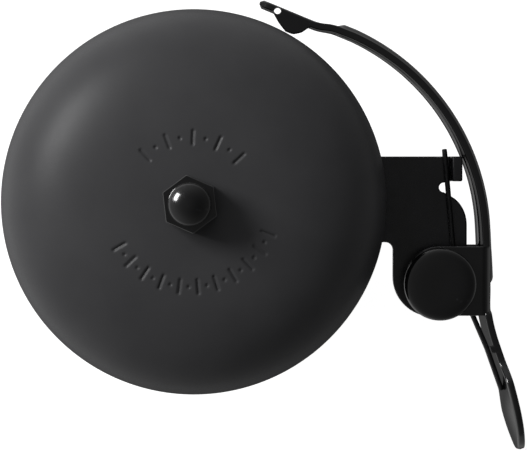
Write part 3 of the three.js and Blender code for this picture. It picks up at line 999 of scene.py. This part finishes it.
WIRE_RADIUS = 0.55
COIL_RADIUS = 3.85
COIL_TURNS = 3
FIXED_LEG_Z = PLATE_TOP + 0.8
MOVING_LEG_Z = 21.8
FIXED_LEG_END = (52.1, 10.7)
MOVING_LEG_BEND = (60.75, -30.5)
MOVING_LEG_END = (63.75, -39)


def leave_coil(end, side):
    """Where a straight leg to a point leaves the coil, as an angle in radians."""
    away = Vector(end) - Vector((PIVOT.x, PIVOT.y))
    return math.atan2(away.y, away.x) + side * math.acos(COIL_RADIUS / away.length)


def make_spring():
    moving = leave_coil(MOVING_LEG_BEND, 1)
    fixed = leave_coil(FIXED_LEG_END, -1)
    sweep_angle = math.tau * COIL_TURNS + (fixed - moving) % math.tau
    steps = 48 * COIL_TURNS
    coil = []
    for i in range(steps + 1):
        angle = moving + sweep_angle * i / steps
        z = mix(MOVING_LEG_Z, FIXED_LEG_Z, (smooth(i / steps * 0.8 + 0.1) - 0.028) * 1.12)
        coil.append((PIVOT.x + COIL_RADIUS * math.cos(angle), PIVOT.y + COIL_RADIUS * math.sin(angle), z))
    leg = fillet([MOVING_LEG_END, (*MOVING_LEG_BEND, 4), coil[0][:2]], closed=False, steps=8)
    leg = resample(leg, 1.5)[:-1]
    coil_end = Vector(coil[-1][:2])
    last = [(*coil_end.lerp(Vector(FIXED_LEG_END), k / 12), FIXED_LEG_Z) for k in range(1, 13)]
    path = [(x, y, MOVING_LEG_Z) for x, y in leg] + coil + last
    obj = piece("torsion_spring", sweep(path, WIRE_RADIUS, 16), WIRE, body=None, weighted=False)
    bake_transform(obj)


make_spring()

# ---- lever -----------------------------------

STRIP_THICKNESS = 1.5
STRIP_TOP = 24.1
STRIP_BOTTOM = 12.1
EAR_THICKNESS = 1.4
EAR_BACK = -9.2
EAR_FRONT = -23.6
ARM_CENTRE = (14, -8)
ARM_RADIUS = 46.3
ARM_END = 71.5
ARM_KINK = (25.65, 36.2)
TIP_SLOPE = 22.5
TIP_LENGTH = 13.1
TIP_BOTTOM = 19.6
TIP_SLANT = 0.6
TIP_SLANT_LENGTH = 2.2
ARM_END_BOTTOM = 18.2
RIB_HEIGHT = 0.95
RIB_HALF_WIDTH = 2
THUMB_BEND = 19
THUMB_BEND_RADIUS = 40
THUMB_BEND_START = -16.5
NECK_LENGTH = 3.1
PAD_LENGTH = 20
PAD_SWEEP = 11
PAD_HALF_WIDTH = 9
PAD_CUP = 1.3
WEB_X = ARM_CENTRE[0] + ARM_RADIUS
WEB_BOW = 0.5  # how far the web bows outwards between the arm and the thumb bend
WEB_BOW_START, WEB_BOW_IN = -5, 12.5  # where along y it starts, and over what length it grows
WEB_BOW_END, WEB_BOW_OUT = -17.5, 6.5  # where it starts to fade, and over what length
EAR_BEND_OUT = 0.25  # the ears fold from the bowed web
LEAN = 0.045  # the strip leans inwards below its top edge
EDGE = 0.3


def lever_path():
    """The strip's centreline in plan, and the lengths along it at which its stretches begin."""
    slope = math.radians(180 - TIP_SLOPE)
    tip = (ARM_KINK[0] + TIP_LENGTH * math.cos(slope), ARM_KINK[1] + TIP_LENGTH * math.sin(slope))
    end = arc(*ARM_CENTRE, ARM_RADIUS, ARM_END, ARM_END, 1)[0]
    arm = arc(*ARM_CENTRE, ARM_RADIUS, 66, 0, 90)
    head = fillet([tip, (*ARM_KINK, 8), (*end, 10), arm[0]], closed=False, steps=6)
    points = head[:-1] + arm
    points.append((WEB_X, THUMB_BEND_START))
    bend_x = WEB_X + THUMB_BEND_RADIUS
    points += arc(bend_x, THUMB_BEND_START, THUMB_BEND_RADIUS, 180, 180 + THUMB_BEND, 12)[1:]

    def walk(length, steps, curl):
        """Goes on from the last point, turning back by curl degrees on the way."""
        x, y = points[-1]
        for k in range(steps):
            heading = math.radians(THUMB_BEND - curl * (k + 0.5) / steps)
            x += length / steps * math.sin(heading)
            y -= length / steps * math.cos(heading)
            points.append((x, y))

    walk(NECK_LENGTH, int(NECK_LENGTH / 0.6), 0)
    pad_start = points[-1]
    walk(PAD_LENGTH, 60, PAD_SWEEP)
    points = resample(points, 0.7)
    points = [(px + web_bow(py) if px > PIVOT.x else px, py) for px, py in points]
    lengths = path_lengths(points)
    marks = {
        "kink": nearest_length(points, lengths, ARM_KINK),
        "arm": nearest_length(points, lengths, end),
        "web": nearest_length(points, lengths, (WEB_X, ARM_CENTRE[1])),
        "pad": nearest_length(points, lengths, pad_start),
    }
    return points, lengths, marks


def web_bow(y):
    """How far the web bows outwards at a place along y."""
    return WEB_BOW * smooth((WEB_BOW_START - y) / WEB_BOW_IN) * (1 - smooth((WEB_BOW_END - y) / WEB_BOW_OUT))


def nearest_length(points, lengths, place):
    return min(zip(points, lengths), key=lambda pair: math.dist(pair[0], place))[1]


def lever_section(s, y, marks, total):
    """The strip's section at one place: (across the thickness, height) points."""
    middle = (STRIP_TOP + STRIP_BOTTOM) / 2
    low, high = STRIP_BOTTOM, STRIP_TOP
    cup = 0.0
    corner = EDGE
    top_corner = EDGE
    if s < marks["kink"]:
        low = TIP_BOTTOM
        high -= TIP_SLANT * smooth(1 - s / TIP_SLANT_LENGTH)
        top_corner = mix(EDGE, 0.7, smooth((marks["kink"] - s) / 2))
    elif s < marks["arm"]:
        low = mix(TIP_BOTTOM, ARM_END_BOTTOM, smooth((s - marks["kink"]) / (marks["arm"] - marks["kink"])))
    elif s < marks["web"]:
        share = (s - marks["arm"]) / (marks["web"] - marks["arm"])
        low = mix(ARM_END_BOTTOM, STRIP_BOTTOM, share ** 0.7)
    rib = RIB_HEIGHT * smooth((s - marks["arm"] - 0.3) / 1.8) * smooth((y + 17.9) / 1.9)
    if s >= marks["pad"]:
        share = (s - marks["pad"]) / (total - marks["pad"])
        to_tip = (1 - share) * PAD_LENGTH
        tip_round = math.sqrt(max(PAD_HALF_WIDTH ** 2 - max(PAD_HALF_WIDTH - to_tip, 0) ** 2, 0.6))
        narrow = (STRIP_TOP - STRIP_BOTTOM) / 2
        half = min(mix(narrow, PAD_HALF_WIDTH, smooth(share / 0.28)), tip_round)
        low, high = middle - half, middle + half
        cup = PAD_CUP * smooth((share - 0.1) / 0.5) * (half / PAD_HALF_WIDTH) ** 2
        corner = mix(EDGE, 0.5, smooth(share / 0.3))
        top_corner = corner
    under_ear = smooth((EAR_BACK - 0.4 - y) / 0.5) * smooth((y - EAR_FRONT - 0.4) / 0.5)
    high = mix(high, STRIP_TOP - 2.1, under_ear)
    low_edge = mix(low, STRIP_BOTTOM + 2.1, under_ear)
    if under_ear > 0.5:
        corner = top_corner = 0.04
    half_thickness = STRIP_THICKNESS / 2
    centre = (low + high) / 2 if s >= marks["pad"] else (low + STRIP_TOP) / 2
    reach = (high - low) / 2
    heights = [math.cos(math.pi * k / 30) for k in range(31)]

    def face(side):
        """One face from its lower edge to its upper edge, between the rounded corners."""
        bottom = low_edge + corner
        top = high - top_corner
        points = []
        for t in reversed(heights):
            z = mix(bottom, top, (t + 1) / 2)
            off = z - centre
            bulge = rib * (1 - smooth((abs(off) - RIB_HALF_WIDTH * 0.35) / (RIB_HALF_WIDTH * 0.75)))
            dish = cup * (1 - ((z - middle) / reach) ** 2) if cup else 0
            points.append((side * half_thickness + bulge - dish, z))
        return points

    def rounded_corner(side, radius, top):
        """The corner between a face and an edge, left out of the face's own points."""
        z = high if top else low_edge
        inward = -1 if top else 1
        points = []
        for k in range(1, 5):
            a = math.pi / 2 * k / 5
            across = side * (half_thickness - radius + radius * math.cos(a))
            points.append((across, z + inward * radius * (1 - math.sin(a))))
        points.append((side * (half_thickness - radius), z))
        return points

    outer, inner = face(1), face(-1)
    section = (
        outer
        + rounded_corner(1, top_corner, True)
        + rounded_corner(-1, top_corner if s >= marks["kink"] else EDGE, True)[::-1]
        + inner[::-1]
        + rounded_corner(-1, corner, False)
        + rounded_corner(1, corner, False)[::-1]
    )
    lean = LEAN * (1 - 0.5 * smooth((s - marks["pad"]) / PAD_LENGTH))
    return [(across - lean * (STRIP_TOP - z), z) for across, z in section]


def ear_solid(top):
    """One ear, folded from the web with a rounded bend. top is the height of its outer face."""
    bend_inner = 0.5
    outer_face = WEB_X + EAR_BEND_OUT + STRIP_THICKNESS / 2
    start = outer_face - EAR_THICKNESS - bend_inner
    length = (bend_inner + EAR_THICKNESS / 2) * math.pi / 2
    end = start + length + 0.5
    radius = (EAR_BACK - EAR_FRONT) / 2
    middle = (EAR_BACK + EAR_FRONT) / 2
    outline = arc(PIVOT.x, middle, radius, 90, 270, 40) + [(end, EAR_FRONT), (end, EAR_BACK)]
    bm = plate(outline, [], top - EAR_THICKNESS, top, 0.25)
    bend_down(bm, start, bend_inner, EAR_THICKNESS, top)
    return bm


def make_lever():
    points, lengths, marks = lever_path()
    total = lengths[-1]
    rows = []
    for (x, y), s, (nx, ny) in zip(points, lengths, path_normals(points)):
        section = lever_section(s, y, marks, total)
        end = min(s, total - s)
        squeeze = math.sqrt(1 - (1 - min(end / 0.5, 1)) ** 2) * 0.7 + 0.3
        rows.append([(x + nx * across * squeeze, y + ny * across * squeeze, z) for across, z in section])
    strip = loft(rows)
    top_ear = ear_solid(STRIP_TOP)
    low_ear = ear_solid(STRIP_TOP)
    for v in low_ear.verts:
        v.co.z = STRIP_BOTTOM + STRIP_TOP - v.co.z
    bmesh.ops.reverse_faces(low_ear, faces=low_ear.faces)
    striker = fillet(
        [
            (24.1, 35.95, 0.3), (24.2, 36.85), (16.3, 40.1), (16.1, 39.35), (17.4, 37.0, 8),
            (18.8, 35.2, 0.5), (20.4, 34.55, 2), (22.2, 34.95, 2), (23.5, 35.85, 0.3),
        ],
        steps=6,
    )
    fin = plate(striker, [], STRIP_TOP - EAR_THICKNESS, STRIP_TOP, 0.25)
    lug = plate(
        fillet([(61, -29.9, 0.3), (61.5, -31.3, 0.4), (63.6, -31.3, 0.2), (63.1, -29.9, 0.2)]),
        [], STRIP_TOP - 1, STRIP_TOP, 0.22,
    )
    drill = rod(2.05, STRIP_BOTTOM - 1, STRIP_TOP + 1, PIVOT.x, PIVOT.y)
    relief = rod(0.74, TIP_BOTTOM - 1, STRIP_TOP + 1, 17.2, 39.5, 32)
    bm = combine("lever", strip, joined=[top_ear, low_ear, fin, lug], removed=[drill, relief])
    piece("lever", bm, GLOSS, MOVER)


make_lever()

# ---- camera, floor and light -----------------

IMAGE_WIDTH_MM = 109.6
CAMERA_OVER = Vector((15.52, 8.46, 520))
AIM = Vector((14.29, -4.87, DOME_LOW.z + 1.1))


def make_camera():
    data = bpy.data.cameras.new("camera")
    obj = bpy.data.objects.new("camera", data)
    scene.collection.objects.link(obj)
    scene.camera = obj
    obj.location = CAMERA_OVER * MM
    away = AIM - CAMERA_OVER
    obj.rotation_euler = (math.atan2(away.y, -away.z), math.atan2(-away.x, -away.z), 0)
    data.sensor_width = 36
    data.lens = data.sensor_width * -away.z / IMAGE_WIDTH_MM
    data.clip_start = 0.01


def make_floor():
    """A white floor just below the clamp. Gloss on the bell doesn't reflect it, and it lights nothing."""
    mesh = bpy.data.meshes.new("floor")
    reach = 2.0
    height = (box("clamp_band")[0].z - 2) * MM
    corners = ((-reach, -reach), (reach, -reach), (reach, reach), (-reach, reach))
    mesh.from_pydata([(x, y, height) for x, y in corners], [], [(0, 1, 2, 3)])
    obj = bpy.data.objects.new("floor", mesh)
    scene.collection.objects.link(obj)
    material = bpy.data.materials.new("floor")
    material.use_nodes = True
    shader = material.node_tree.nodes["Principled BSDF"]
    shader.inputs["Base Color"].default_value = (0.4, 0.4, 0.4, 1)
    shader.inputs["Roughness"].default_value = 0.9
    shader.inputs["Emission Color"].default_value = (1, 1, 1, 1)
    shader.inputs["Emission Strength"].default_value = 0.92
    mesh.materials.append(material)
    obj.visible_glossy = False
    obj.visible_diffuse = False


def softbox(name, azimuth, elevation, distance, size, power, reflected=True):
    """A soft rectangular light aimed at the bell. Distance and size are in metres."""
    data = bpy.data.lights.new(name, "AREA")
    data.shape = "RECTANGLE"
    data.size, data.size_y = size
    data.energy = power
    obj = bpy.data.objects.new(name, data)
    scene.collection.objects.link(obj)
    a, e = math.radians(azimuth), math.radians(elevation)
    direction = Vector((math.cos(e) * math.cos(a), math.cos(e) * math.sin(a), math.sin(e)))
    target = Vector((0.015, 0, 0.02))
    obj.location = target + direction * distance
    obj.rotation_euler = (-direction).to_track_quat("-Z", "Y").to_euler()
    obj.visible_glossy = reflected


def make_world():
    """Dim surroundings, lighter round the horizon and on the side the light comes from."""
    world = bpy.data.worlds.new("studio")
    scene.world = world
    world.use_nodes = True
    nodes, links = world.node_tree.nodes, world.node_tree.links
    direction = nodes.new("ShaderNodeTexCoord").outputs["Generated"]

    def level(axis, start, end, low, high):
        """A level that runs from low to high as the direction turns towards an axis."""
        facing = nodes.new("ShaderNodeVectorMath")
        facing.operation = "DOT_PRODUCT"
        facing.inputs[1].default_value = axis
        links.new(direction, facing.inputs[0])
        spread = nodes.new("ShaderNodeMapRange")
        spread.interpolation_type = "SMOOTHSTEP"
        for name, value in (("From Min", start), ("From Max", end), ("To Min", low), ("To Max", high)):
            spread.inputs[name].default_value = value
        links.new(facing.outputs["Value"], spread.inputs["Value"])
        return spread.outputs["Result"]

    product = level((-0.85, 0.25, 0.1), -0.7, 0.8, 0.13, 0.53)
    zenith = level((0, 0, 1), 0.25, 0.95, 1, 0.42)
    horizon = level((0, 0, 1), 0.02, 0.25, 2.2, 1)
    straight_down = level((0, 0, -1), 0.6, 0.97, 1, 0.12)
    for factor in (zenith, horizon, straight_down):
        times = nodes.new("ShaderNodeMath")
        times.operation = "MULTIPLY"
        links.new(product, times.inputs[0])
        links.new(factor, times.inputs[1])
        product = times.outputs["Value"]
    background = nodes["Background"]
    background.inputs["Color"].default_value = (1, 1, 1, 1)
    links.new(product, background.inputs["Strength"])


make_camera()
make_floor()
make_world()
softbox("key", 151, 33, 1.0, (0.42, 0.24), 9)
softbox("fill", 98, 40, 1.0, (1.4, 0.9), 2.2, reflected=False)
scene.view_settings.view_transform = "Standard"
